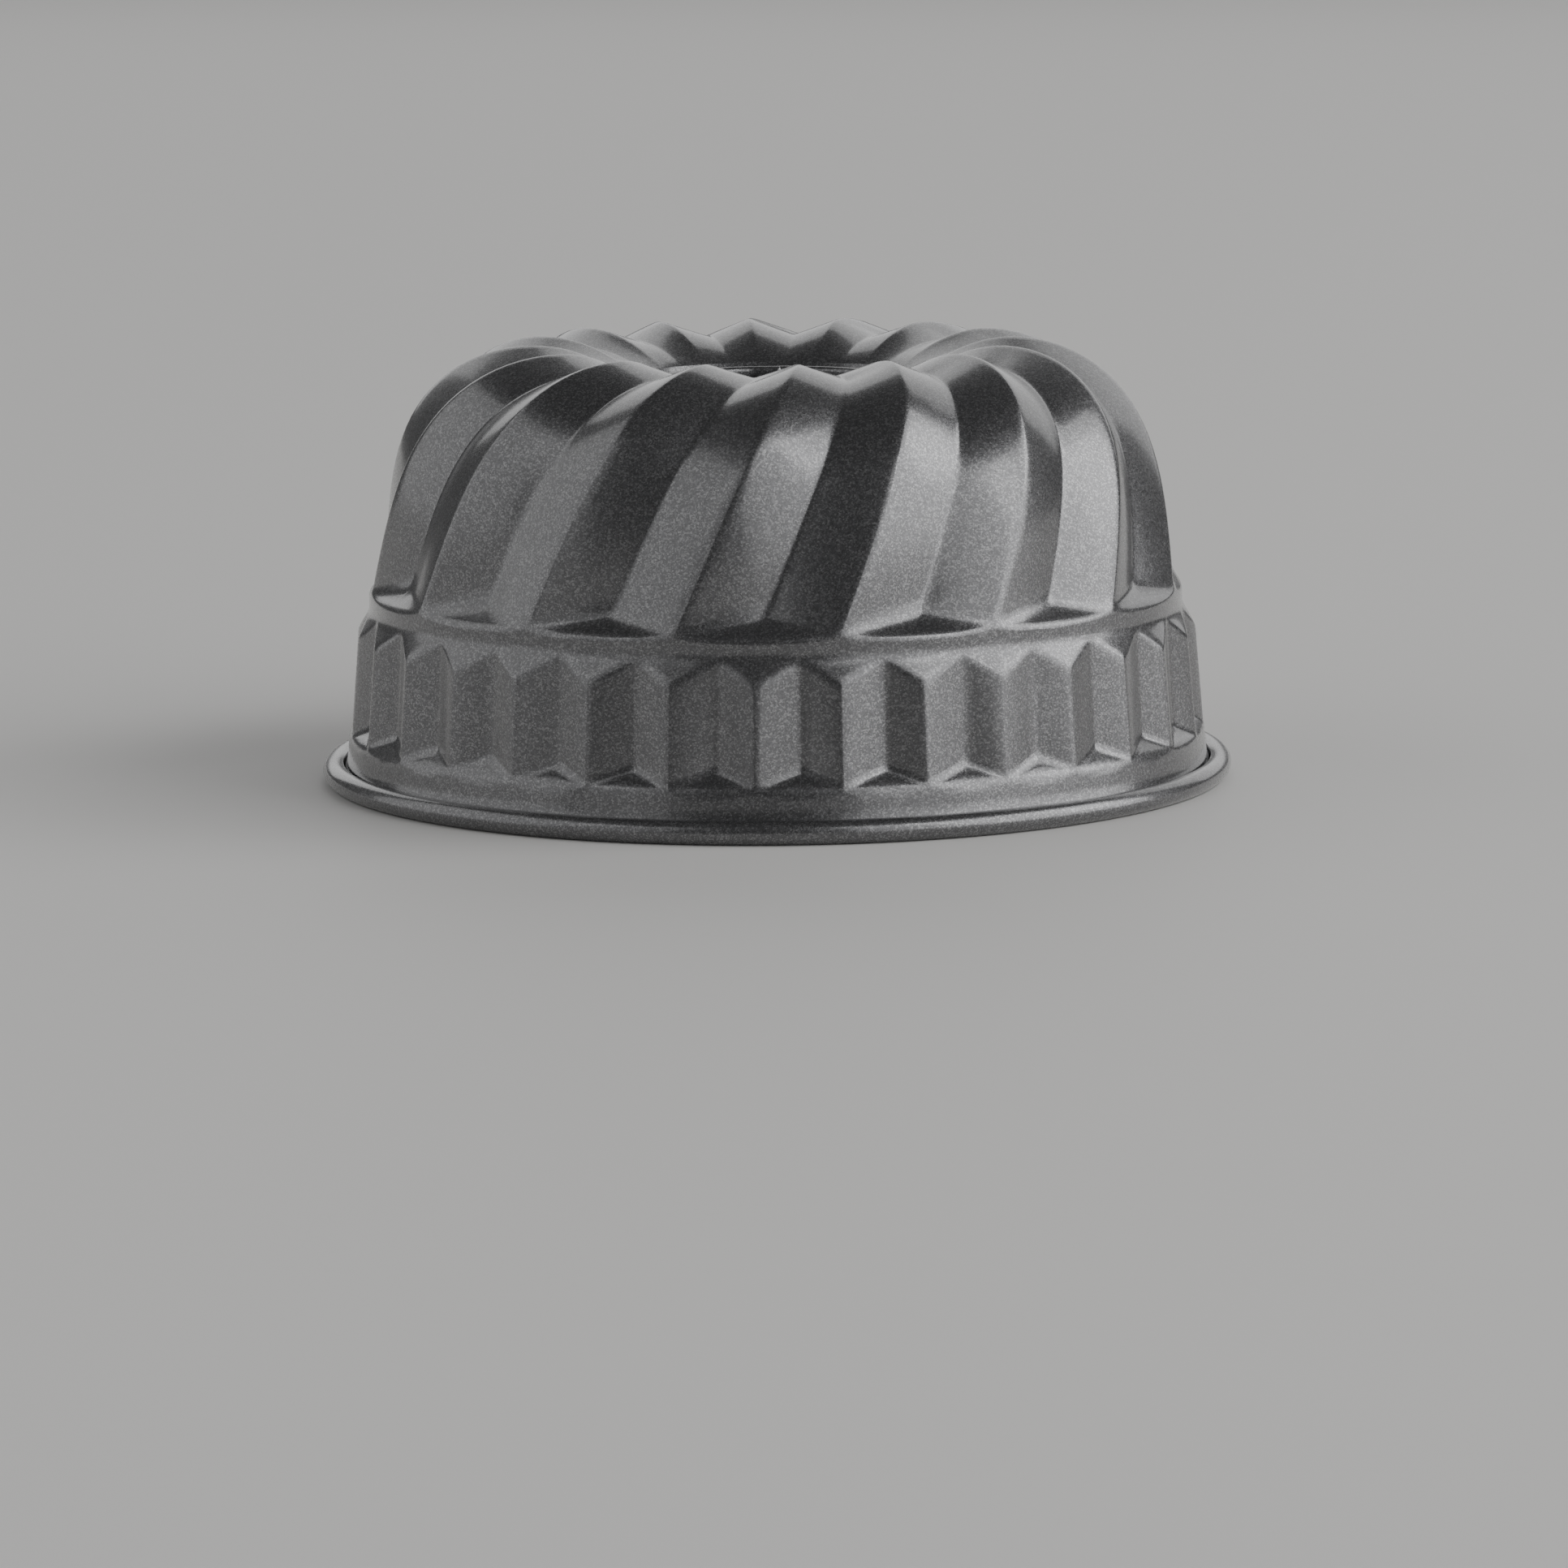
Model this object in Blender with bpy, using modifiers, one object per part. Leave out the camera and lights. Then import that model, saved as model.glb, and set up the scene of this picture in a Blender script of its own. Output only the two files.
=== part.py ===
"""Fluted ring mould (bundt pan), shown dome up and resting on its rim.

The frame has its origin at the centre of the mouth plane, with +Z up through the dome.
Three pieces: the drawn sheet-steel shell, the rolled tube through its middle, and the
wire that the rim is curled over. Lengths are named in millimetres and built in metres.
"""
import math

import bmesh
import bpy

MM = 0.001

# Overall sizes
RIM_DIAMETER = 236.0        # outside of the curled rim
HEIGHT = 113.0              # mouth plane to the crest of the dome
CREST_DIAMETER = 124.0      # circle along which the ridges are highest
SHEET = 0.6                 # steel sheet of shell and tube
CLEARANCE = 0.3             # gap left between pieces that touch

# Curled rim and its wire
CURL_DIAMETER = 6.1
CURL_FACET = 45.0           # degrees of curl to one flat, so that one flat lies on the mouth plane
CURL_FLATS = 6              # flats from the wall round to the cut edge

# Collar and band of straight flutes
BAND_FLUTES = 32
COLLAR_TOP = 12.2           # heights above the mouth plane
BAND_HIP_TOP = 17.0
BAND_RIDGE_TOP = 38.6
LEDGE_BOTTOM = 44.4
LEDGE_TOP = 49.3
COLLAR_STEP = 0.7           # the collar lies this far inside the curl
COLLAR_DRAFT = 1.0          # each stretch of the wall leans in by its draft
BAND_DRAFT = 2.0
BAND_CHAMFER = 3.5
BAND_DEPTH = 4.0
HIP_EDGE = 0.3              # the creases of a hip stop this short of the plain ring they run into

# Swirled flutes of the dome
SWIRL_FLUTES = 16
SWIRL_DEPTH = 5.4           # on the wall
CREST_DEPTH = 4.6
SWIRL_HIP = 6.2             # height over which a valley runs out above the ledge
WALL_LEAN = 0.15            # mm inwards for each mm of height
SHOULDER_POWER = 4.2        # higher gives a straighter wall and a tighter shoulder
TWIST = 0.234               # degrees for each mm along the profile
SHOULDER_RINGS = 9
CROWN_SINK = 9.1            # crest to the edge of the seat round the hole
CROWN_RINGS = 3

# Seat for the tube round the centre hole
FLANGE_WIDTH = 3.7          # flat ring that the tube's curl lies on
SEAT_STEP = 2.4             # drop from the crown to the flange
SEAT_STEP_WIDTH = 1.5

# Centre tube
TUBE_TOP_DIAMETER = 65.0
TUBE_MOUTH_DIAMETER = 46.0
TUBE_RECESS = 3.0           # mouth plane to the tube's hem
TUBE_CURL_RADIUS = 0.7      # inside of the curl
LOCK_BEAD = 0.8             # swelling under the flange that holds the shell
HEM_RADIUS = 0.9
TUBE_SEGMENTS = 48

COLUMNS = 2 * BAND_FLUTES   # one column of points on each ridge and each valley

# Values that follow from the sizes
curl_radius = CURL_DIAMETER / 2
curl_centre_radius = RIM_DIAMETER / 2 - curl_radius
collar_radius = RIM_DIAMETER / 2 - CURL_DIAMETER - COLLAR_STEP + SHEET
band_foot_radius = collar_radius - COLLAR_DRAFT
band_top_radius = band_foot_radius - BAND_DRAFT
ledge_radius = band_top_radius - BAND_CHAMFER
crest_radius = CREST_DIAMETER / 2
flange_height = HEIGHT - CROWN_SINK - SEAT_STEP
tube_radius = TUBE_TOP_DIAMETER / 2
hole_radius = tube_radius + CLEARANCE
flange_radius = hole_radius + FLANGE_WIDTH
seat_radius = flange_radius + SEAT_STEP_WIDTH


def clear_scene():
    for old in list(bpy.data.objects):
        bpy.data.objects.remove(old, do_unlink=True)


def finish(name, colour, roughness, metallic):
    material = bpy.data.materials.new(name)
    material.use_nodes = True
    shader = material.node_tree.nodes["Principled BSDF"]
    shader.inputs["Base Color"].default_value = (*colour, 1.0)
    shader.inputs["Roughness"].default_value = roughness
    shader.inputs["Metallic"].default_value = metallic
    return material


def place(name, mesh, material, collection):
    mesh.materials.append(material)
    piece = bpy.data.objects.new(name, mesh)
    collection.objects.link(piece)
    return piece


def add_sheet_thickness(piece):
    """The modelled surface stays; the sheet grows from it to the other side."""
    wall = piece.modifiers.new("sheet", "SOLIDIFY")
    wall.thickness = SHEET * MM
    wall.offset = -1.0
    wall.use_even_offset = True
    wall.use_rim = True


def smooth(mesh):
    mesh.shade_smooth()
    mesh.set_sharp_from_angle(angle=math.radians(25))


def swirl_ridge(height):
    """Radius of the dome's ridge line at a height above the ledge."""
    rise = min((height - LEDGE_TOP) / (HEIGHT - LEDGE_TOP), 1.0)
    reach = ledge_radius - WALL_LEAN * (height - LEDGE_TOP) - crest_radius
    return crest_radius + reach * math.sqrt(1.0 - rise ** SHOULDER_POWER)


def curl_rings():
    """The curl from its cut edge, over the outside and under, to the wall."""
    sheet_radius = (curl_radius - SHEET) / math.cos(math.radians(CURL_FACET / 2))
    first = 270.0 - CURL_FACET * 1.5 + CURL_FACET * CURL_FLATS
    rings = []
    for step in range(CURL_FLATS + 1):
        angle = math.radians(first - CURL_FACET * step)
        radius = curl_centre_radius + sheet_radius * math.cos(angle)
        rings.append((radius, curl_radius + sheet_radius * math.sin(angle)))
    return rings


def shell_rings():
    """Rings of (ridge point, valley point, flutes, twist) from the curl to the hole.

    A point is (radius, height). Plain rings have the same ridge and valley point. At the
    ends of the flutes a ring climbs and falls, so that it follows the edge of the hips:
    the three-cornered faces that close the band's valleys below and its ridges above,
    and the dome's valleys above the ledge.
    """
    rings = [(point, point, BAND_FLUTES, 0.0) for point in curl_rings()]

    def plain(radius, height, flutes, twist=0.0):
        rings.append(((radius, height), (radius, height), flutes, twist))

    plain(collar_radius, CURL_DIAMETER + CLEARANCE, BAND_FLUTES)
    plain(band_foot_radius, COLLAR_TOP, BAND_FLUTES)
    foot = (band_foot_radius, COLLAR_TOP + HIP_EDGE)
    rings.append((foot, (band_foot_radius - BAND_DEPTH, BAND_HIP_TOP), BAND_FLUTES, 0.0))
    top = (band_top_radius, BAND_RIDGE_TOP)
    valley_top = (band_top_radius - BAND_DEPTH, LEDGE_BOTTOM - HIP_EDGE)
    rings.append((top, valley_top, BAND_FLUTES, 0.0))
    plain(ledge_radius, LEDGE_BOTTOM, BAND_FLUTES)
    plain(ledge_radius, LEDGE_TOP, SWIRL_FLUTES)

    hip_height = LEDGE_TOP + SWIRL_HIP
    hip_valley = (swirl_ridge(hip_height) - SWIRL_DEPTH, hip_height)
    hip_ridge = (swirl_ridge(LEDGE_TOP + HIP_EDGE), LEDGE_TOP + HIP_EDGE)
    rings.append((hip_ridge, hip_valley, SWIRL_FLUTES, TWIST * SWIRL_HIP / 2))

    # The dome: rings close up towards the crest, where the shoulder bends most.
    ridge = [(ledge_radius, LEDGE_TOP)]
    for step in range(1, SHOULDER_RINGS + 1):
        bend = math.sin(math.radians(90.0 * step / SHOULDER_RINGS)) ** (2 / SHOULDER_POWER)
        height = LEDGE_TOP + (HEIGHT - LEDGE_TOP) * bend
        if height > hip_height + SWIRL_HIP:
            ridge.append((swirl_ridge(height), height))
    travelled = 0.0
    for (low_r, low_z), (radius, height) in zip(ridge, ridge[1:]):
        length = math.hypot(radius - low_r, height - low_z)
        travelled += length
        inward, down = (height - low_z) / length, (low_r - radius) / length
        share = (height - hip_height) / (HEIGHT - hip_height)
        depth = SWIRL_DEPTH + (CREST_DEPTH - SWIRL_DEPTH) * share
        if height == HEIGHT:
            inward, down = 0.0, 1.0
        valley = (radius - depth * inward, height - depth * down)
        rings.append(((radius, height), valley, SWIRL_FLUTES, TWIST * travelled))

    # The crown falls from the crest to the seat while its flutes fade out.
    turned = TWIST * travelled
    for step in range(1, CROWN_RINGS):
        share = step / CROWN_RINGS
        radius = crest_radius + (seat_radius - crest_radius) * share
        height = HEIGHT - CROWN_SINK * share ** 2
        valley = (radius, height - CREST_DEPTH * (1.0 - share))
        rings.append(((radius, height), valley, SWIRL_FLUTES, turned))
    plain(seat_radius, HEIGHT - CROWN_SINK, SWIRL_FLUTES, turned)
    plain(flange_radius, flange_height, SWIRL_FLUTES, turned)
    plain(hole_radius, flange_height, SWIRL_FLUTES, turned)
    return rings


def ridge_share(column, flutes):
    """1 on a ridge, 0 in a valley, straight between them.

    Column 0 looks along -Y. It holds a ridge of the band and a valley of the dome.
    """
    per_flute = COLUMNS / flutes
    across = (column % per_flute) / per_flute
    from_start = 2.0 * min(across, 1.0 - across)
    return from_start if flutes == SWIRL_FLUTES else 1.0 - from_start


def build_shell(collection):
    mesh = bpy.data.meshes.new("body_shell")
    shape = bmesh.new()
    loops = []
    for ridge, valley, flutes, twist in shell_rings():
        loop = []
        for column in range(COLUMNS):
            share = ridge_share(column, flutes)
            radius = (valley[0] + (ridge[0] - valley[0]) * share) * MM
            height = (valley[1] + (ridge[1] - valley[1]) * share) * MM
            turn = math.radians(360.0 * column / COLUMNS + twist)
            loop.append(shape.verts.new((radius * math.sin(turn), -radius * math.cos(turn), height)))
        loops.append(loop)
    for lower, upper in zip(loops, loops[1:]):
        for column in range(COLUMNS):
            after = (column + 1) % COLUMNS
            shape.faces.new((lower[column], lower[after], upper[after], upper[column]))
    shape.to_mesh(mesh)
    shape.free()
    smooth(mesh)
    coating = finish("non_stick_coating", (0.075, 0.076, 0.080), 0.38, 0.6)
    add_sheet_thickness(place("body_shell", mesh, coating, collection))


def arc(centre, radius, start, stop, steps):
    """Points on an arc in the (radius, height) plane, from start to stop in degrees."""
    turns = [math.radians(start + (stop - start) * step / steps) for step in range(steps + 1)]
    return [(centre[0] + radius * math.cos(t), centre[1] + radius * math.sin(t)) for t in turns]


def tube_profile():
    """The tube's cake-side face, from the tip of its curl down to the end of its hem."""
    curl_height = flange_height + CLEARANCE
    lock_top = flange_height - SHEET - CLEARANCE
    points = arc((tube_radius + TUBE_CURL_RADIUS, curl_height), TUBE_CURL_RADIUS, 0, 180, 4)
    points.append((tube_radius, lock_top))
    points.append((tube_radius + LOCK_BEAD, lock_top - LOCK_BEAD))
    points.append((tube_radius, lock_top - 2 * LOCK_BEAD))
    hem_outside = TUBE_MOUTH_DIAMETER / 2
    hem_centre = (hem_outside - HEM_RADIUS, TUBE_RECESS + HEM_RADIUS)
    points += arc(hem_centre, HEM_RADIUS, 0, -180, 4)
    return points


def build_tube(collection):
    mesh = bpy.data.meshes.new("centre_tube")
    points = [(radius * MM, 0.0, height * MM) for radius, height in tube_profile()]
    mesh.from_pydata(points, [(i, i + 1) for i in range(len(points) - 1)], [])
    coating = finish("tube_coating", (0.085, 0.086, 0.090), 0.36, 0.6)
    tube = place("centre_tube", mesh, coating, collection)
    turned = tube.modifiers.new("turned", "SCREW")
    turned.steps = TUBE_SEGMENTS
    turned.render_steps = TUBE_SEGMENTS
    turned.use_merge_vertices = True
    turned.merge_threshold = 0.00001
    turned.use_smooth_shade = True
    add_sheet_thickness(tube)


def build_wire(collection):
    bpy.ops.mesh.primitive_torus_add(
        location=(0.0, 0.0, curl_radius * MM),
        major_radius=curl_centre_radius * MM,
        minor_radius=(curl_radius - SHEET - CLEARANCE) * MM,
        major_segments=COLUMNS,
        minor_segments=8,
    )
    wire = bpy.context.object
    wire.name = "rim_wire"
    wire.data.name = "rim_wire"
    smooth(wire.data)
    wire.data.materials.append(finish("rim_wire_steel", (0.42, 0.42, 0.43), 0.35, 1.0))
    for holder in list(wire.users_collection):
        holder.objects.unlink(wire)
    collection.objects.link(wire)


def main():
    clear_scene()
    collection = bpy.data.collections.new("bundt_pan")
    bpy.context.scene.collection.children.link(collection)
    build_shell(collection)
    build_tube(collection)
    build_wire(collection)


main()
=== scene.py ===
# %% [markdown]
# # A fluted ring mould
#
# This file builds a ring mould for cakes, standing dome up on its curled rim. The solid model
# of the pan is loaded first and fixes every size and place. What follows gives it the surface
# of the real thing: pressed flutes with soft folds, a rolled rim, a seamed tube through the
# middle and a dark non-stick coating with metal flecks in it.

# %% Load the solid model
import math

import bmesh
import bpy
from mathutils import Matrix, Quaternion, Vector


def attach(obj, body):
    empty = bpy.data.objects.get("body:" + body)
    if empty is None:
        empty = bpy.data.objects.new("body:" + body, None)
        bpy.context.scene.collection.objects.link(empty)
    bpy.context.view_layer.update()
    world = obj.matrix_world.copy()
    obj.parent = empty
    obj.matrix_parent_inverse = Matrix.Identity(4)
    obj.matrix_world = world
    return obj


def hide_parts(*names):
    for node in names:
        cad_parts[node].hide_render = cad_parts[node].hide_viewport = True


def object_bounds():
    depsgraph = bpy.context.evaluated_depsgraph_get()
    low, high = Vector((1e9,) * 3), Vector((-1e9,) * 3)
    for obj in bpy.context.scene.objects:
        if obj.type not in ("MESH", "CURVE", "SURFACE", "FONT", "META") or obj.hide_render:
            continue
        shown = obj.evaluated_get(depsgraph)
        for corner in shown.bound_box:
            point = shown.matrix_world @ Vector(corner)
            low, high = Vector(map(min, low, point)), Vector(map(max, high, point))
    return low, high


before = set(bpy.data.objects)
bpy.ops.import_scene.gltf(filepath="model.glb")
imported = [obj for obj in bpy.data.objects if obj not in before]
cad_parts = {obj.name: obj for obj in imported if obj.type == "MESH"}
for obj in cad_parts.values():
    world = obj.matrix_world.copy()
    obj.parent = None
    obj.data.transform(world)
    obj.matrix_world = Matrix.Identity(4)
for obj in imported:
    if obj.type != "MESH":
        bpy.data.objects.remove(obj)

MM = 0.001
cad_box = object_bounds()
rim_radius = cad_box[1][0] / MM
height = cad_box[1][2] / MM
print(f"the pan is {2 * rim_radius:.1f} mm across and {height:.1f} mm high")

# %% [markdown]
# ## Two helpers
#
# Colours are given as sRGB hex values, while shaders calculate in linear light, so one
# function converts them. Shader and geometry trees are both made of nodes with settings and
# links, so one function adds any node: keyword arguments are its settings, and the dictionary
# gives each input either a value or the output that feeds it.


# %% Colour and node helpers
def hex_colour(code):
    """An sRGB hex value as linear RGBA."""
    channels = [int(code[start:start + 2], 16) / 255 for start in (0, 2, 4)]
    linear = [c / 12.92 if c <= 0.04045 else ((c + 0.055) / 1.055) ** 2.4 for c in channels]
    return (*linear, 1.0)


def add_node(tree, kind, feeds=None, **settings):
    node = tree.nodes.new(kind)
    for name, value in settings.items():
        setattr(node, name, value)
    for key, value in (feeds or {}).items():
        if isinstance(value, bpy.types.NodeSocket):
            tree.links.new(value, node.inputs[key])
        else:
            node.inputs[key].default_value = value
    return node


print("a middle grey of 808080 is", round(hex_colour("808080")[0], 3), "in linear light")


# %% [markdown]
# ## The non-stick coating
#
# Bakeware of this kind is drawn from sheet steel that was roller coated with a dark grey
# fluoropolymer. Aluminium flakes in the lacquer lie at slightly different tilts, so the
# surface is satin and finely speckled, and the speckle is strongest where light rakes over it.
# A voronoi cell stands for one flake, and three random values of the cell set how bright the
# flake is, how it is tilted and how glossy it is. Real flakes are about 0.05 mm; they are drawn
# at about a third of a millimetre, the size at which clusters of them show. The clear topcoat
# over them gives the tighter sheen, and a faint orange peel keeps the sheen from looking wet.
# A painted image could carry the speckle too, but it would need a layout for every fold, while
# a pattern in space runs over all of them evenly.

# %% Coating material
FLAKE = 0.34 * MM
ORANGE_PEEL = 2.2 * MM
GLOSS_SPREAD = 0.06         # how much the roughness of single flakes differs from the mean


def non_stick_coating(name, dark, mid, bright, roughness):
    """Fluoropolymer lacquer with metal flakes, roller coated on steel: satin and speckled."""
    material = bpy.data.materials.new(name)
    material.use_nodes = True
    tree = material.node_tree
    shader = tree.nodes["Principled BSDF"]
    place = add_node(tree, "ShaderNodeTexCoord").outputs["Object"]
    flakes = add_node(tree, "ShaderNodeTexVoronoi", {"Vector": place, "Scale": 1 / FLAKE})
    flake = add_node(tree, "ShaderNodeSeparateColor", {"Color": flakes.outputs["Color"]})
    ramp = add_node(tree, "ShaderNodeValToRGB", {"Fac": flake.outputs["Red"]})
    ramp.color_ramp.elements[0].color = hex_colour(dark)
    ramp.color_ramp.elements[1].color = hex_colour(bright)
    middle = ramp.color_ramp.elements.new(0.6)
    middle.color = hex_colour(mid)
    peel = add_node(tree, "ShaderNodeTexNoise", {"Vector": place, "Scale": 1 / ORANGE_PEEL})
    relief = add_node(tree, "ShaderNodeBump", {
        "Strength": 0.10, "Distance": 0.3 * MM, "Height": peel.outputs["Fac"]})
    tilt = add_node(tree, "ShaderNodeBump", {
        "Strength": 0.12, "Distance": 0.1 * MM, "Height": flake.outputs["Green"],
        "Normal": relief.outputs["Normal"]})
    gloss = add_node(tree, "ShaderNodeMapRange", {
        "Value": flake.outputs["Blue"],
        "To Min": roughness - GLOSS_SPREAD,
        "To Max": roughness + GLOSS_SPREAD})
    tree.links.new(ramp.outputs["Color"], shader.inputs["Base Color"])
    tree.links.new(gloss.outputs["Result"], shader.inputs["Roughness"])
    tree.links.new(tilt.outputs["Normal"], shader.inputs["Normal"])
    shader.inputs["Metallic"].default_value = 0.85
    shader.inputs["Coat Weight"].default_value = 1.0
    shader.inputs["Coat Roughness"].default_value = 0.14
    return material


GREYS = ("59595a", "68686a", "8f8f90")
shell_coating = non_stick_coating("non_stick_coating", *GREYS, 0.3)
tube_coating = non_stick_coating("tube_non_stick_coating", *GREYS, 0.3)
print("coatings:", shell_coating.name, tube_coating.name)

# %% [markdown]
# ## Sections of the shell
#
# The shell is one sheet pressed in a die. Every section across it is a plain circle or a ring
# of folds, so the whole shape can be written as a list of sections, each with a point on its
# ridges and a point in its valleys. The flutes end in three-cornered hips, which are cut by
# cones: a cone closes the band's valleys above the collar, another cuts its ridges off under
# the ledge, and a third closes the dome's valleys above the ledge. The outside face of the
# sheet is drawn, and the sheet gets its thickness inwards at the end.

# %% Sizes of the shell, in millimetres
SHEET = 0.6
CURL = 3.05                 # radius of the curled rim
CURL_OPENING = 138.0        # where its cut edge stops, in degrees from the outside
CURL_END = -175.0           # and where it runs into the foot of the wall
BAND_FLUTES = 32
SWIRL_FLUTES = 16
COLLAR_FOOT = 7.0           # heights above the floor, up to the top of the ledge
COLLAR_TOP = 12.8
BAND_HIP_TOP = 16.8
BAND_RIDGE_TOP = 38.6
LEDGE_BOTTOM = 44.4
LEDGE_TOP = 49.3
SWIRL_HIP = 4.9             # how far up the dome its valleys' hips reach
HIP_RIDGE_RUN = 2.4         # how far the rows climb the ridge meanwhile
BAND_FOOT_RADIUS = 111.0
BAND_TOP_RADIUS = 108.9
BAND_DEPTH = 4.0
BAND_VALLEY_TURN = 0.5      # the valleys lie a little past the middle, in degrees
LEDGE_RADIUS = 105.3
SWIRL_DEPTH = 5.4
CREST_DEPTH = 4.6
CREST_RADIUS = 62.0
WALL_LEAN = 0.15            # the dome's wall leans in by this much of its rise
SHOULDER_POWER = 4.2        # 2 rounds the dome's shoulder like an ellipse, more squares it
TWIST = 0.234               # degrees of swirl for each millimetre along the profile
CROWN_SINK = 9.1
SEAT_RADIUS = 38.0
SEAT_STEP = 2.4
SEAT_STEP_WIDTH = 1.5
SEAT_FOLD = 0.35            # rounding of the step in the seat
HOLE_RADIUS = 32.8
flange_height = height - CROWN_SINK - SEAT_STEP
curl_centre = rim_radius - CURL


# %% The dome's ridge line
def ridge_line(steps=400):
    """Points (radius, height, travelled) up the dome, from the ledge to the crest."""
    points = []
    travelled = 0.0
    for step in range(steps + 1):
        rise = math.sin(math.pi / 2 * step / steps) ** (2 / SHOULDER_POWER)
        z = LEDGE_TOP + (height - LEDGE_TOP) * rise
        reach = LEDGE_RADIUS - WALL_LEAN * (z - LEDGE_TOP) - CREST_RADIUS
        r = CREST_RADIUS + reach * math.sqrt(max(1.0 - rise ** SHOULDER_POWER, 0.0))
        if points:
            travelled += math.hypot(r - points[-1][0], z - points[-1][1])
        points.append((r, z, travelled))
    return points


dome = ridge_line()
dome_length = dome[-1][2]


def on_dome(travelled, depth=0.0):
    """The point this far up the dome, sunk by a depth square to the surface."""
    travelled = min(travelled, dome_length)
    after = next(i for i, point in enumerate(dome) if i and point[2] >= travelled)
    (r0, z0, s0), (r1, z1, s1) = dome[after - 1], dome[after]
    share = (travelled - s0) / (s1 - s0)
    length = math.hypot(r1 - r0, z1 - z0)
    r, z = r0 + (r1 - r0) * share, z0 + (z1 - z0) * share
    return r - depth * (z1 - z0) / length, z - depth * (r0 - r1) / length


print(f"the dome's ridges are {dome_length:.0f} mm long and turn {TWIST * dome_length:.0f} degrees")


# %% Straight lines of the band's profile
def line(start, end):
    """The radius at a height on the straight line through two (radius, height) points."""
    slope = (end[0] - start[0]) / (end[1] - start[1])
    return lambda z: start[0] + slope * (z - start[1])


band_ridge = line((BAND_FOOT_RADIUS, COLLAR_TOP), (BAND_TOP_RADIUS, BAND_RIDGE_TOP))
band_valley = line((BAND_FOOT_RADIUS - BAND_DEPTH, COLLAR_TOP), (LEDGE_RADIUS, LEDGE_BOTTOM))
foot_hip = line((BAND_FOOT_RADIUS, COLLAR_TOP), (band_valley(BAND_HIP_TOP), BAND_HIP_TOP))
top_hip = line((BAND_TOP_RADIUS, BAND_RIDGE_TOP), (LEDGE_RADIUS, LEDGE_BOTTOM))
valley_start = on_dome(SWIRL_HIP, SWIRL_DEPTH)
ledge_hip = line((LEDGE_RADIUS, LEDGE_TOP), valley_start)
print(f"band flutes are {BAND_DEPTH:.1f} mm deep at the foot, swirled ones {SWIRL_DEPTH:.1f} mm")

# %% [markdown]
# A pressed fold is never knife sharp. Where two faces or a face and a cone meet, the smaller or
# the larger of two radii counts, and a smooth minimum or maximum does that with an even soft
# fold. So each section says five things for its ridges and five for its valleys: the radius
# and height of the flute itself, the cone that cuts it off from outside, the cone that closes
# it from inside, and the skin that nothing stands out of. Where there is no cone, its radius
# is far out or far in. The rows climb from ridge to valley, so that they follow the hips.

# %% What a section holds
FAR_OUT, FAR_IN = 400.0, -400.0
NAMES = ("radius", "height", "cut", "fill", "skin")


def five_values(values):
    """A radius and a height with their cones and skin, out of reach where there are none."""
    return tuple(values) + (FAR_OUT, FAR_IN, FAR_OUT)[len(values) - 2:]


def section(ridge, valley=None, swirl=0.0, ridge_turn=0.0, valley_turn=None):
    """One row: five values for the ridge, five for the valley, the kind and the turns."""
    valley = ridge if valley is None else valley
    valley_turn = ridge_turn if valley_turn is None else valley_turn
    row = {f"ridge_{name}": value * MM for name, value in zip(NAMES, five_values(ridge))}
    row.update({f"valley_{name}": value * MM for name, value in zip(NAMES, five_values(valley))})
    row.update(swirl=swirl, ridge_turn=math.radians(ridge_turn),
               valley_turn=math.radians(valley_turn))
    return row


def spread(start, stop, steps):
    """Even steps from start to stop, without the start."""
    return [start + (stop - start) * step / steps for step in range(1, steps + 1)]


print("each section holds", ", ".join(NAMES), "for its ridges and for its valleys")


# %% Sections of the rim and of the band
def curled_rim():
    """From the cut edge, over the outside and under, to the foot of the wall."""
    reach = CURL - SHEET     # the wall's outside face runs on as the inside of the curl
    rows = []
    for turn in [CURL_OPENING] + spread(CURL_OPENING, CURL_END, 17):
        angle = math.radians(turn)
        rows.append(section((curl_centre + reach * math.cos(angle),
                             CURL + reach * math.sin(angle))))
    foot = band_ridge(COLLAR_FOOT)
    for share in (0.33, 0.67, 1.0):
        ease = share * share * (3.0 - 2.0 * share)
        rows.append(section((curl_centre - reach + (foot - curl_centre + reach) * ease,
                             CURL + (COLLAR_FOOT - CURL) * share)))
    return rows


def band_row(ridge_z, valley_z):
    """A row of the band: both cones, and above its middle the ledge's wall closes the valleys."""
    def side(z, flute):
        fill = foot_hip(z) if z < (BAND_HIP_TOP + BAND_RIDGE_TOP) / 2 else LEDGE_RADIUS
        return flute(z), z, top_hip(z), fill, band_ridge(z)
    return section(side(ridge_z, band_ridge), side(valley_z, band_valley), 0.0,
                   0.0, BAND_VALLEY_TURN)


def straight_band():
    """Heights of each row on the ridges and in the valleys, closest together at the hips."""
    foot = [(COLLAR_FOOT + 1.2, COLLAR_FOOT + 1.2), (9.8, 10.2), (11.0, 12.0), (11.8, 13.6),
             (12.4, 15.0), (13.0, 16.2), (13.7, 17.3), (14.6, 18.5), (15.8, 20.0), (17.4, 21.8)]
    top = [(35.0, 39.0), (36.8, 41.2), (37.8, 42.2), (38.6, 43.0), (39.5, 43.5), (40.8, 43.9),
           (42.3, 44.2), (43.4, 44.6), (44.3, 45.0), (45.3, 45.5), (46.4, 46.4)]
    return [band_row(*pair) for pair in foot + [(24.0, 29.0)] + top]


sections = curled_rim() + straight_band()
print(len(sections), "sections from the cut edge of the rim to the top of the band")


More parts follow.
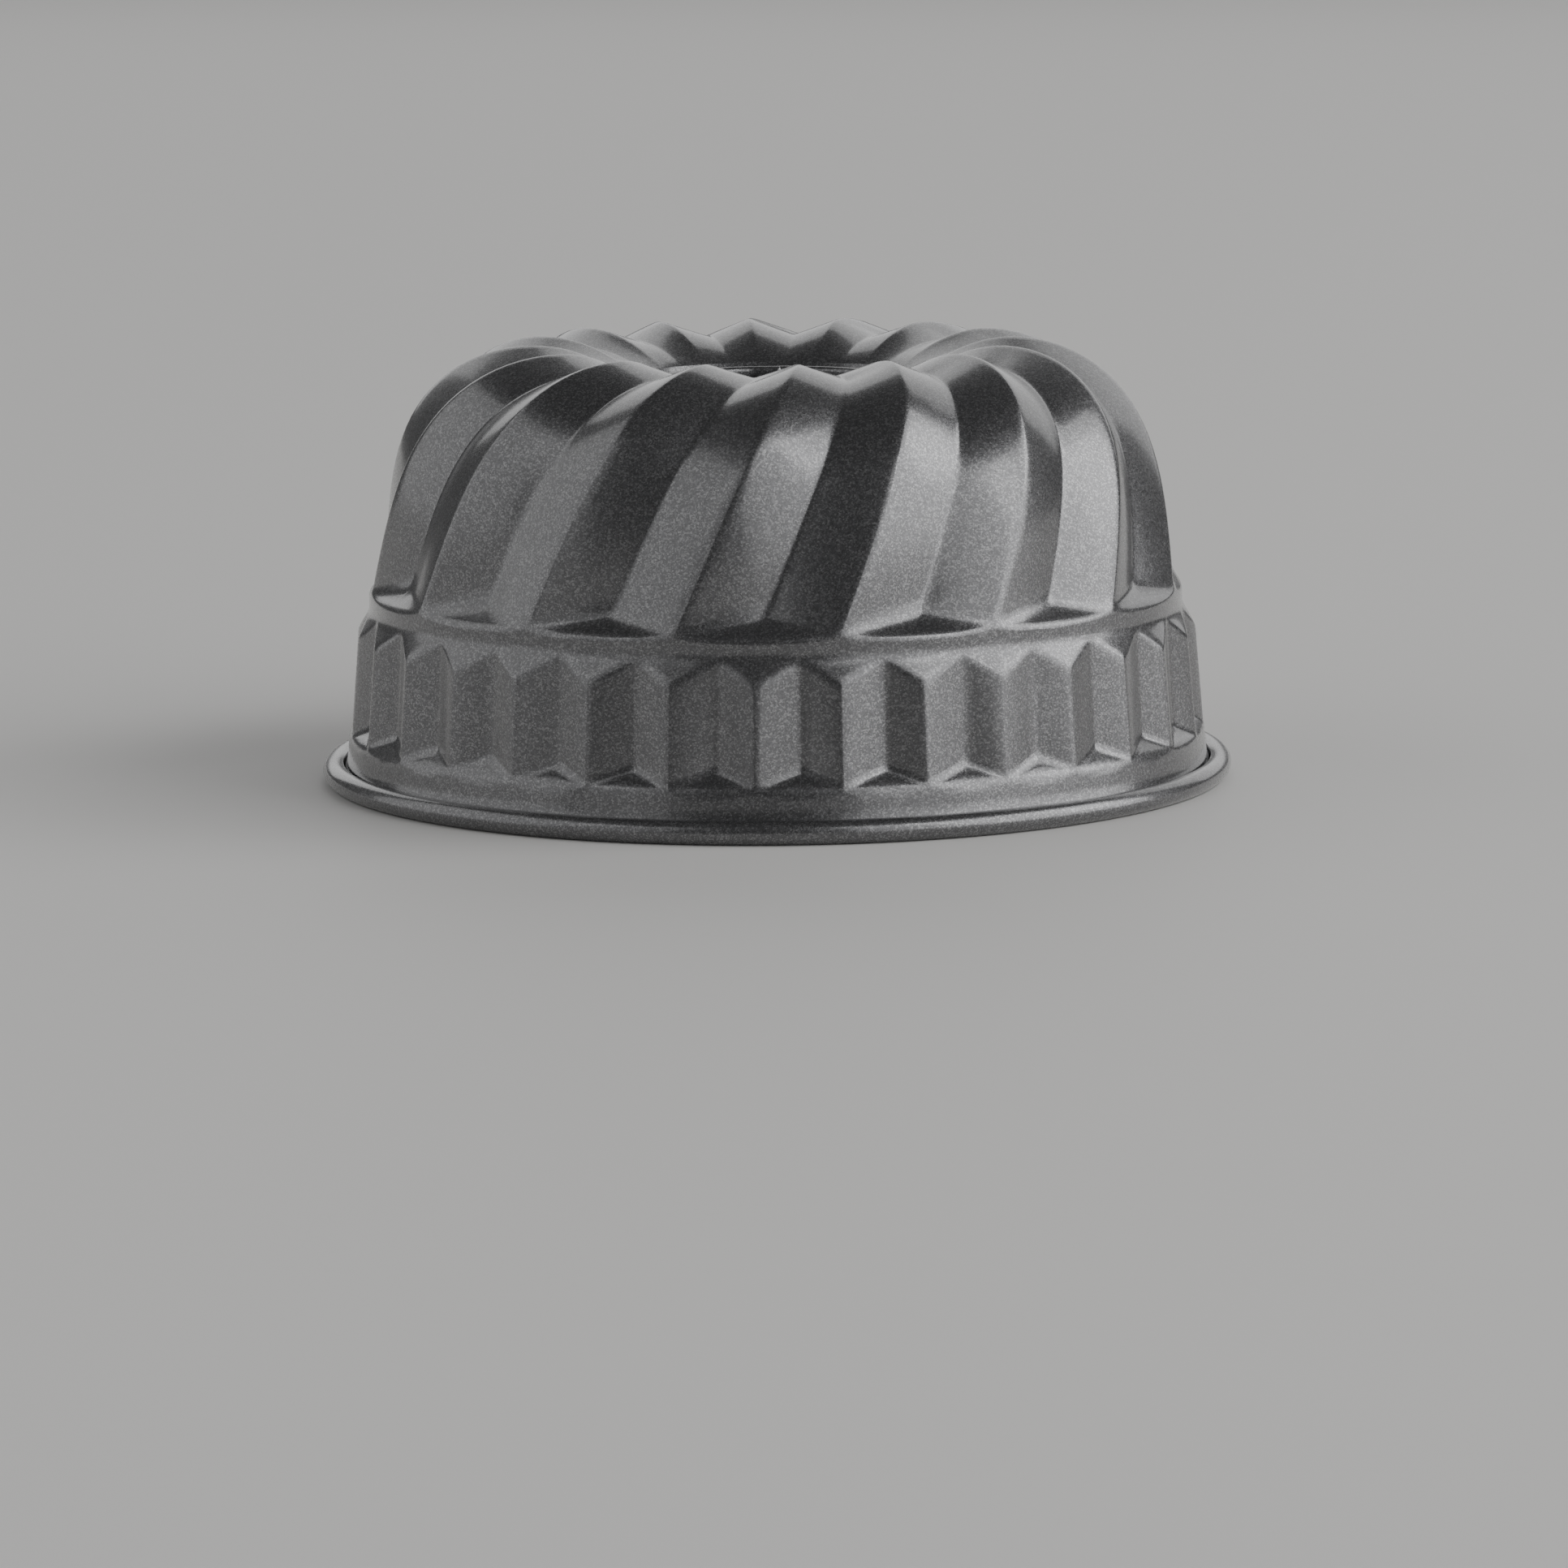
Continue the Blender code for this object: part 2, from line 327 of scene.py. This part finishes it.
# %% Sections of the dome and of the crown
def dome_row(at_ridge, at_valley, depth):
    """A row of the dome by how far up it its ridge and valley points lie."""
    ridge, valley = on_dome(at_ridge), on_dome(at_valley, depth)
    turns = (TWIST * at_ridge, TWIST * min(at_valley, dome_length))
    return section((*ridge, FAR_OUT, ledge_hip(ridge[1]), LEDGE_RADIUS),
                   (*valley, FAR_OUT, ledge_hip(valley[1]), LEDGE_RADIUS), 1.0, *turns)


def ledge_row(ridge_z, valley_z):
    """A plain row of the ledge's wall: the hip's cone lies outside it and the skin rules."""
    ridge = (LEDGE_RADIUS, ridge_z, FAR_OUT, ledge_hip(ridge_z), LEDGE_RADIUS)
    valley = (LEDGE_RADIUS - SWIRL_DEPTH, valley_z, FAR_OUT, ledge_hip(valley_z), LEDGE_RADIUS)
    return section(ridge, valley, 1.0, TWIST * (ridge_z - LEDGE_TOP))


def swirled_dome():
    """The ledge's upper edge, rows that climb over the hips, then even rows to the crest."""
    rows = [ledge_row(47.2, 46.9), ledge_row(48.0, 47.5), ledge_row(48.7, 48.0)]
    hip_shares = (0.0, 0.2, 0.4, 0.6, 0.8, 0.9, 1.0, 1.1, 1.25, 1.5)
    for share in hip_shares:
        rows.append(dome_row(share * HIP_RIDGE_RUN, share * SWIRL_HIP, SWIRL_DEPTH))
    start_ridge, start_valley = hip_shares[-1] * HIP_RIDGE_RUN, hip_shares[-1] * SWIRL_HIP
    for share in spread(0.0, 1.0, 25):
        at_ridge = start_ridge + (dome_length - start_ridge) * share
        lead = (start_valley - start_ridge) * (1.0 - share) ** 2
        depth = SWIRL_DEPTH + (CREST_DEPTH - SWIRL_DEPTH) * share
        rows.append(dome_row(at_ridge, at_ridge + lead, depth))
    return rows


def crown():
    """From the crest in to the seat, while the flutes fade out, then down to the flange."""
    turned = TWIST * dome_length
    rows = []
    for share in spread(0.0, 1.0, 10):
        r = CREST_RADIUS + (SEAT_RADIUS - CREST_RADIUS) * share
        z = height - CROWN_SINK * share ** 2
        rows.append(section((r, z), (r, z - CREST_DEPTH * (1.0 - share)), 1.0, turned))
    step_foot = SEAT_RADIUS - SEAT_STEP_WIDTH
    for r, z in ((SEAT_RADIUS - SEAT_FOLD, height - CROWN_SINK - SEAT_FOLD),
                 (step_foot + SEAT_FOLD, flange_height + 0.4), (step_foot, flange_height + 0.1),
                 (step_foot - 0.5, flange_height), (HOLE_RADIUS, flange_height)):
        rows.append(section((r, z), None, 1.0, turned))
    return rows


sections += swirled_dome() + crown()
print(len(sections), "sections from the cut edge of the rim to the centre hole")

# %% [markdown]
# ## Spinning the sections into a shell
#
# Geometry Nodes suit a surface that follows a rule. The list of sections goes in as the points
# of a plain mesh, with its values as attributes. The tree lays out a grid with one row to a
# section, looks up each row's values, and wraps the grid round the axis. Eight columns to a
# half flute are enough, because they crowd towards the ridge and the valley, where the folds
# are, and leave wider steps on the flat face between them.

# %% Profile points as a mesh with attributes
def profile_object(name, rows):
    mesh = bpy.data.meshes.new(name)
    mesh.from_pydata([(0.0, 0.0, float(index)) for index in range(len(rows))], [], [])
    for attribute_name in rows[0]:
        attribute = mesh.attributes.new(attribute_name, "FLOAT", "POINT")
        attribute.data.foreach_set("value", [row[attribute_name] for row in rows])
    profile = bpy.data.objects.new(name, mesh)
    bpy.context.scene.collection.objects.link(profile)
    return profile


shell_profile = profile_object("shell_profile", sections)
print("profile attributes:", ", ".join(sections[0]))


# %% Folds and columns
SHELL_INPUTS = (
    ("Band Flutes", "NodeSocketInt", BAND_FLUTES),
    ("Swirl Flutes", "NodeSocketInt", SWIRL_FLUTES),
    ("Band Ridge Fold", "NodeSocketFloat", 0.14),       # softness of folds, in half flutes
    ("Band Valley Fold", "NodeSocketFloat", 0.40),
    ("Swirl Ridge Fold", "NodeSocketFloat", 0.19),
    ("Swirl Valley Fold", "NodeSocketFloat", 0.14),
    ("Band Fill Fold", "NodeSocketFloat", 1.2 * MM),    # softness where cones close valleys
    ("Swirl Fill Fold", "NodeSocketFloat", 5.6 * MM),
    ("Cut Fold", "NodeSocketFloat", 0.8 * MM),          # softness where ridges are cut off
    ("Skin Fold", "NodeSocketFloat", 0.7 * MM),
)
COLUMNS_PER_HALF_FLUTE = 8
CROWDING = 1.7              # 1 spaces the columns evenly, more draws them to the folds
MATH = "ShaderNodeMath"


def crowded_columns(tree, column):
    """Half flutes travelled, with the columns of each drawn towards its ridge and its valley."""
    even = add_node(tree, MATH, {0: column, 1: COLUMNS_PER_HALF_FLUTE}, operation="DIVIDE").outputs[0]
    whole = add_node(tree, MATH, {0: even}, operation="FLOOR").outputs[0]
    part = add_node(tree, MATH, {0: even}, operation="FRACT").outputs[0]
    rest = add_node(tree, MATH, {0: 1.0, 1: part}, operation="SUBTRACT").outputs[0]
    near = add_node(tree, MATH, {0: part, 1: CROWDING}, operation="POWER").outputs[0]
    far = add_node(tree, MATH, {0: rest, 1: CROWDING}, operation="POWER").outputs[0]
    both = add_node(tree, MATH, {0: near, 1: far}, operation="ADD").outputs[0]
    share = add_node(tree, MATH, {0: near, 1: both}, operation="DIVIDE").outputs[0]
    return add_node(tree, MATH, {0: whole, 1: share}, operation="ADD").outputs[0]


def soft_zigzag(tree, along, low_fold, high_fold):
    """0 to 1 and back over each pair of half flutes, with both turns rounded by a fold."""
    sharp = add_node(tree, MATH, {0: along, 1: 1.0}, operation="PINGPONG").outputs[0]
    below = add_node(tree, MATH, {0: 0.0, 1: sharp}, operation="SUBTRACT").outputs[0]
    low = add_node(tree, MATH, {0: sharp, 1: below, 2: low_fold}, operation="SMOOTH_MAX").outputs[0]
    above = add_node(tree, MATH, {0: 2.0, 1: low}, operation="SUBTRACT").outputs[0]
    return add_node(tree, MATH, {0: low, 1: above, 2: high_fold}, operation="SMOOTH_MIN").outputs[0]


print(COLUMNS_PER_HALF_FLUTE * 2 * BAND_FLUTES, "columns round the pan")


# %% Inputs of the geometry tree
shell_tree = bpy.data.node_groups.new("fluted_shell", "GeometryNodeTree")
face = shell_tree.interface
face.new_socket("Sections", in_out="INPUT", socket_type="NodeSocketGeometry")
for name, kind, start in SHELL_INPUTS:
    face.new_socket(name, in_out="INPUT", socket_type=kind).default_value = start
face.new_socket("Coating", in_out="INPUT", socket_type="NodeSocketMaterial")
face.new_socket("Shell", in_out="OUTPUT", socket_type="NodeSocketGeometry")
given = add_node(shell_tree, "NodeGroupInput").outputs
print("the tree asks for", ", ".join(socket.name for socket in given if socket.name))

# %% Grid of the tree: one row to a section, counted up one column after the other
size = add_node(shell_tree, "GeometryNodeAttributeDomainSize", {"Geometry": given["Sections"]})
rows = size.outputs["Point Count"]
halves = add_node(shell_tree, MATH, {0: given["Band Flutes"], 1: 2.0}, operation="MULTIPLY").outputs[0]
columns = add_node(shell_tree, MATH, {0: halves, 1: COLUMNS_PER_HALF_FLUTE, 2: 1.0},
                   operation="MULTIPLY_ADD").outputs[0]
grid = add_node(shell_tree, "GeometryNodeMeshGrid", {"Vertices X": columns, "Vertices Y": rows})
index = add_node(shell_tree, "GeometryNodeInputIndex").outputs["Index"]
row = add_node(shell_tree, MATH, {0: index, 1: rows}, operation="MODULO").outputs[0]
column_start = add_node(shell_tree, MATH, {0: index, 1: row}, operation="SUBTRACT").outputs[0]
column = add_node(shell_tree, MATH, {0: column_start, 1: rows}, operation="DIVIDE").outputs[0]


def looked_up(name):
    """A section's value, at every point of its row."""
    value = add_node(shell_tree, "GeometryNodeInputNamedAttribute", {"Name": name},
                     data_type="FLOAT")
    return add_node(shell_tree, "GeometryNodeSampleIndex", {
        "Geometry": given["Sections"], "Value": value.outputs["Attribute"], "Index": row,
    }, data_type="FLOAT", domain="POINT").outputs["Value"]


print(len(shell_tree.nodes), "nodes so far")

# %% How near each column is to a ridge: 1 on it, 0 in the valley
along = crowded_columns(shell_tree, column)
sunk = soft_zigzag(shell_tree, along, given["Band Ridge Fold"], given["Band Valley Fold"])
on_band = add_node(shell_tree, MATH, {0: 1.0, 1: sunk}, operation="SUBTRACT").outputs[0]
slower = add_node(shell_tree, MATH, {0: given["Swirl Flutes"], 1: given["Band Flutes"]},
                  operation="DIVIDE").outputs[0]
swirl_along = add_node(shell_tree, MATH, {0: along, 1: slower}, operation="MULTIPLY").outputs[0]
on_swirl = soft_zigzag(shell_tree, swirl_along, given["Swirl Valley Fold"], given["Swirl Ridge Fold"])
swirl = looked_up("swirl")
share = add_node(shell_tree, "ShaderNodeMix", {
    "Factor": swirl, "A": on_band, "B": on_swirl}).outputs["Result"]


def across(name):
    """A section's value between its valley and its ridge."""
    return add_node(shell_tree, "ShaderNodeMix", {
        "Factor": share, "A": looked_up(f"valley_{name}"), "B": looked_up(f"ridge_{name}"),
    }).outputs["Result"]


print(len(shell_tree.nodes), "nodes so far")

# %% The flute, cut off by one cone, filled up to the other and kept inside the skin
fill_fold = add_node(shell_tree, "ShaderNodeMix", {
    "Factor": swirl, "A": given["Band Fill Fold"], "B": given["Swirl Fill Fold"],
}).outputs["Result"]
cut = add_node(shell_tree, MATH, {0: across("radius"), 1: across("cut"), 2: given["Cut Fold"]},
               operation="SMOOTH_MIN").outputs[0]
filled = add_node(shell_tree, MATH, {0: cut, 1: across("fill"), 2: fill_fold},
                  operation="SMOOTH_MAX").outputs[0]
radius = add_node(shell_tree, MATH, {0: filled, 1: across("skin"), 2: given["Skin Fold"]},
                  operation="SMOOTH_MIN").outputs[0]
print(len(shell_tree.nodes), "nodes so far")

# %% A point that far in front of the axis, turned round it
pitch = add_node(shell_tree, MATH, {0: 2 * math.pi, 1: halves}, operation="DIVIDE").outputs[0]
angle = add_node(shell_tree, MATH, {0: along, 1: pitch, 2: across("turn")},
                 operation="MULTIPLY_ADD").outputs[0]
front = add_node(shell_tree, MATH, {0: 0.0, 1: radius}, operation="SUBTRACT").outputs[0]
spot = add_node(shell_tree, "ShaderNodeCombineXYZ", {"Y": front, "Z": across("height")})
place = add_node(shell_tree, "ShaderNodeVectorRotate", {
    "Vector": spot.outputs["Vector"], "Angle": angle}, rotation_type="Z_AXIS")
wrapped = add_node(shell_tree, "GeometryNodeSetPosition", {
    "Geometry": grid.outputs["Mesh"], "Position": place.outputs["Vector"]})
closed = add_node(shell_tree, "GeometryNodeMergeByDistance", {
    "Geometry": wrapped.outputs["Geometry"], "Distance": 0.01 * MM})
smooth = add_node(shell_tree, "GeometryNodeSetShadeSmooth", {"Geometry": closed.outputs["Geometry"]})
real = add_node(shell_tree, "GeometryNodeRealizeInstances", {"Geometry": smooth.outputs["Geometry"]})
coated = add_node(shell_tree, "GeometryNodeSetMaterial", {
    "Geometry": real.outputs["Geometry"], "Material": given["Coating"]})
add_node(shell_tree, "NodeGroupOutput", {"Shell": coated.outputs["Geometry"]})
print(len(shell_tree.nodes), "nodes in the whole tree")


# %% Build the shell
def plain_mesh(source, name, sharp_angle=50.0):
    """What the modifiers make, as a plain mesh object; the source is removed."""
    bpy.context.view_layer.update()
    depsgraph = bpy.context.evaluated_depsgraph_get()
    mesh = bpy.data.meshes.new_from_object(source.evaluated_get(depsgraph), depsgraph=depsgraph)
    mesh.name = name
    mesh.shade_smooth()
    mesh.set_sharp_from_angle(angle=math.radians(sharp_angle))
    piece = bpy.data.objects.new(name, mesh)
    bpy.context.scene.collection.objects.link(piece)
    bpy.data.objects.remove(source, do_unlink=True)
    print(f"{name}: {sum(len(p.vertices) - 2 for p in mesh.polygons)} triangles")
    return piece


def add_sheet(source):
    wall = source.modifiers.new("sheet", "SOLIDIFY")
    wall.thickness = SHEET * MM
    wall.offset = -1.0
    wall.use_even_offset = True
    wall.use_rim = True


def set_inputs(modifier, values):
    for item in modifier.node_group.interface.items_tree:
        if item.item_type == "SOCKET" and item.in_out == "INPUT" and item.name in values:
            modifier[item.identifier] = values[item.name]


spin = shell_profile.modifiers.new("fluted_shell", "NODES")
spin.node_group = shell_tree
set_inputs(spin, {**{name: start for name, kind, start in SHELL_INPUTS}, "Coating": shell_coating})
add_sheet(shell_profile)
shell = plain_mesh(shell_profile, "pressed_shell")
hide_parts("body_shell")
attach(shell, "root")

# %% [markdown]
# ## The centre tube
#
# The tube is a strip of the same coated sheet, rolled to a cone and lapped along one side. Its
# top end is curled outwards over the shell round the hole, a swelling just below locks the two
# together, and its lower end is hemmed inwards so that no cut edge is left to touch. It is a
# turned shape with one exception, the lap. A Screw modifier would turn it quickly but can't
# make the lap, so it is lofted ring by ring and the lap is a small step in the radius.

# %% Tube profile, in millimetres
TUBE_TOP_RADIUS = 32.5
TUBE_MOUTH_RADIUS = 23.0
TUBE_RECESS = 3.0
TUBE_CURL = 0.7
LOCK_BEAD = 0.8
HEM = 0.9                   # radius of the fold at the mouth
HEM_LENGTH = 2.0
GAP = 0.3
LAP_WIDTH = 7.0
LAP_SET = 0.45              # how far the sheet is set in where it is lapped
LAP_EDGE, LAP_RAMP = 0.35, 2.5      # widths of the lap's crisp side and of its soft one
TUBE_COLUMNS = 192


def arc(centre, radius, start, stop, steps):
    turns = [math.radians(start + (stop - start) * step / steps) for step in range(steps + 1)]
    return [(centre[0] + radius * math.cos(t), centre[1] + radius * math.sin(t)) for t in turns]


def tube_profile():
    """The cake side of the tube, from the tip of the curl down to the end of the hem."""
    lock_top = flange_height - SHEET - GAP
    points = arc((TUBE_TOP_RADIUS + TUBE_CURL, flange_height + GAP), TUBE_CURL, 0, 180, 10)
    points.append((TUBE_TOP_RADIUS, lock_top + 0.25))
    for step in range(9):
        share = step / 8
        swell = LOCK_BEAD * math.sin(math.pi * share) ** 2
        points.append((TUBE_TOP_RADIUS + swell, lock_top - 2 * LOCK_BEAD * share))
    top = points[-1]
    hem_top = TUBE_RECESS + HEM
    for step in range(1, 12):
        share = step / 12
        points.append((top[0] + (TUBE_MOUTH_RADIUS - top[0]) * share,
                       top[1] + (hem_top - top[1]) * share))
    points += arc((TUBE_MOUTH_RADIUS - HEM, hem_top), HEM, 0, -180, 10)
    points.append((TUBE_MOUTH_RADIUS - 2 * HEM, hem_top + HEM_LENGTH))
    return points


print(len(tube_profile()), "points from the tip of the curl to the end of the hem")


# %% Loft the tube
def lap_step(angle, radius):
    """The change of radius over the lap, which lies at the back."""
    across = (angle - math.pi) * radius
    if across < 0.0 or across > LAP_WIDTH:
        return 0.0
    return -LAP_SET * min(across / LAP_EDGE, (LAP_WIDTH - across) / LAP_RAMP, 1.0)


def column_angles():
    """Even columns, with a few more where the lap's edge needs them."""
    even = [2 * math.pi * step / TUBE_COLUMNS for step in range(TUBE_COLUMNS)]
    near_top = TUBE_TOP_RADIUS - 1.0
    close = [math.pi + offset / near_top for offset in (-0.15, 0.1, 0.2, LAP_EDGE, 0.6)]
    return sorted(set(round(angle, 6) for angle in even + close))


def lofted(name, profile, angles, material, step=lambda angle, radius: 0.0):
    """A surface of the profile's rings, top to bottom, with faces to the outside."""
    shape = bmesh.new()
    loops = []
    for radius, z in profile:
        loop = []
        for angle in angles:
            r = (radius + step(angle, radius)) * MM
            loop.append(shape.verts.new((r * math.sin(angle), -r * math.cos(angle), z * MM)))
        loops.append(loop)
    for upper, lower in zip(loops, loops[1:]):
        for i in range(len(angles)):
            after = (i + 1) % len(angles)
            shape.faces.new((lower[i], lower[after], upper[after], upper[i]))
    mesh = bpy.data.meshes.new(name)
    shape.to_mesh(mesh)
    shape.free()
    mesh.materials.append(material)
    source = bpy.data.objects.new(name, mesh)
    bpy.context.scene.collection.objects.link(source)
    return source


tube_source = lofted("tube_source", tube_profile(), column_angles(), tube_coating, lap_step)
add_sheet(tube_source)
tube = plain_mesh(tube_source, "rolled_centre_tube")
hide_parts("centre_tube")
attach(tube, "root")

# %% [markdown]
# ## The rim wire
#
# The rim is curled over a ring of plain drawn wire, which is what keeps a thin pan from
# flexing. It shows only as a glint down the slit behind the curl. A torus would do, but the
# loft is already at hand and shares the curl's own centre. Drawing leaves fine lines along a
# wire, so the finish is bright steel with a slight streak round the ring.


# %% Wire material and ring
DRAWING_LINE = 0.25 * MM
LINE_RUN = 50 / 3 * MM      # how far a line keeps its strength round the ring


def drawn_steel(name):
    """Drawn low-carbon steel wire: bright grey, with fine lines along its length."""
    material = bpy.data.materials.new(name)
    material.use_nodes = True
    tree = material.node_tree
    shader = tree.nodes["Principled BSDF"]
    place = add_node(tree, "ShaderNodeTexCoord").outputs["Object"]
    lines = add_node(tree, "ShaderNodeTexNoise", {
        "Vector": add_node(tree, "ShaderNodeMapping", {
            "Vector": place, "Scale": (1 / LINE_RUN, 1 / LINE_RUN, 1 / DRAWING_LINE),
        }).outputs["Vector"],
        "Scale": 1.0, "Detail": 3.0})
    gloss = add_node(tree, "ShaderNodeMapRange", {
        "Value": lines.outputs["Fac"], "To Min": 0.25, "To Max": 0.5})
    tree.links.new(gloss.outputs["Result"], shader.inputs["Roughness"])
    shader.inputs["Base Color"].default_value = hex_colour("a4a4a6")
    shader.inputs["Metallic"].default_value = 1.0
    return material


WIRE_RADIUS = CURL - SHEET - GAP
even_angles = [2 * math.pi * step / 256 for step in range(256)]
wire_profile = arc((curl_centre, CURL), WIRE_RADIUS, 90, -270, 16)
wire_source = lofted("wire_source", wire_profile, even_angles, drawn_steel("drawn_steel_wire"))
shape = bmesh.new()
shape.from_mesh(wire_source.data)
bmesh.ops.remove_doubles(shape, verts=shape.verts, dist=0.01 * MM)
bmesh.ops.recalc_face_normals(shape, faces=shape.faces)
shape.to_mesh(wire_source.data)
shape.free()
wire = plain_mesh(wire_source, "curled_in_wire")
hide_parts("rim_wire")
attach(wire, "root")

# %% [markdown]
# ## Floor, light and camera
#
# A dark satin surface shows what is around it more than what falls on it, so the light is made
# of large soft panels that stand round the pan, the side ones down to the floor. The broad one
# on the right is the brightest and has a hotter patch in it, which gives every face turned that
# way a pale sheen. The ones on the left are weaker, and a wide one behind lights the far side
# of the crown. Nothing hangs overhead or straight in front, and that dark shows in the shoulders
# and in the faces turned to the front. The panels stand far enough off to light the plain pale
# floor evenly. The camera has a long lens and looks a little down on the pan.


# %% Floor
FLOOR_RADIUS = 9.0


def pale_floor():
    material = bpy.data.materials.new("pale_floor")
    material.use_nodes = True
    shader = material.node_tree.nodes["Principled BSDF"]
    shader.inputs["Base Color"].default_value = hex_colour("dedddb")
    shader.inputs["Roughness"].default_value = 0.6
    bpy.ops.mesh.primitive_circle_add(vertices=96, radius=FLOOR_RADIUS, fill_type="NGON")
    floor = bpy.context.object
    floor.name = "floor"
    floor.data.materials.append(material)


pale_floor()
print(f"the floor is {2 * FLOOR_RADIUS:.0f} m across")

# %% Lights
PANEL_DISTANCE = 4.1


def soft_panel(name, azimuth, elevation, size, power):
    """A panel this many degrees round from the front and up, facing the middle of the pan."""
    middle = Vector((0.0, 0.0, height * MM / 2))
    turn, rise = math.radians(azimuth), math.radians(elevation)
    towards = Vector((math.sin(turn) * math.cos(rise), -math.cos(turn) * math.cos(rise),
                      math.sin(rise)))
    light = bpy.data.lights.new(name, "AREA")
    light.shape = "RECTANGLE"
    light.size, light.size_y = size
    light.energy = power
    panel = bpy.data.objects.new(name, light)
    panel.location = middle + towards * PANEL_DISTANCE
    panel.rotation_euler = towards.to_track_quat("Z", "Y").to_euler()
    bpy.context.scene.collection.objects.link(panel)


soft_panel("right_panel", 80.0, 25.0, (4.6, 4.3), 140.0)
soft_panel("right_hot_panel", 94.0, 28.0, (1.7, 1.9), 14.5)
soft_panel("front_right_panel", 38.0, 24.0, (2.2, 4.1), 34.0)
soft_panel("left_panel", -86.0, 25.0, (5.3, 4.3), 50.0)
soft_panel("front_left_panel", -37.0, 24.0, (1.8, 4.1), 10.0)
soft_panel("back_panel", 175.0, 26.0, (6.3, 2.9), 46.0)
print(len(bpy.data.lights), "panels round the pan")

# %% Dim room light
world = bpy.data.worlds.new("studio")
world.use_nodes = True
room = world.node_tree.nodes["Background"]
room.inputs["Color"].default_value = hex_colour("b9b9ba")
room.inputs["Strength"].default_value = 0.19
bpy.context.scene.world = world
print("the room's light has a strength of", round(room.inputs["Strength"].default_value, 2))

# %% Camera
AZIMUTH = math.radians(2.84)
ELEVATION = math.radians(7.24)
ROLL = math.radians(-0.55)
DISTANCE = 1.968
LENS = 174.2
LOOK_HEIGHT = 56.0 * MM     # about half way up the pan
LOOK_ASIDE = 1.7 * MM       # the pan sits a little left of the middle of the frame
LOOK_BELOW = 58.2 * MM      # and well above it

middle = Vector((0.0, 0.0, LOOK_HEIGHT))
back = Vector((math.sin(AZIMUTH) * math.cos(ELEVATION),
               -math.cos(AZIMUTH) * math.cos(ELEVATION), math.sin(ELEVATION)))
right = Vector((math.cos(AZIMUTH), math.sin(AZIMUTH), 0.0))
up = back.cross(right)
camera = bpy.data.objects.new("camera", bpy.data.cameras.new("camera"))
camera.data.lens = LENS
camera.data.clip_end = 30.0
camera.location = middle + back * DISTANCE
aim = middle + right * LOOK_ASIDE - up * LOOK_BELOW - camera.location
camera.rotation_mode = "QUATERNION"
camera.rotation_quaternion = aim.to_track_quat("-Z", "Y") @ Quaternion((0.0, 0.0, 1.0), ROLL)
bpy.context.scene.collection.objects.link(camera)
bpy.context.scene.camera = camera
print("camera at", [round(value, 3) for value in camera.location])
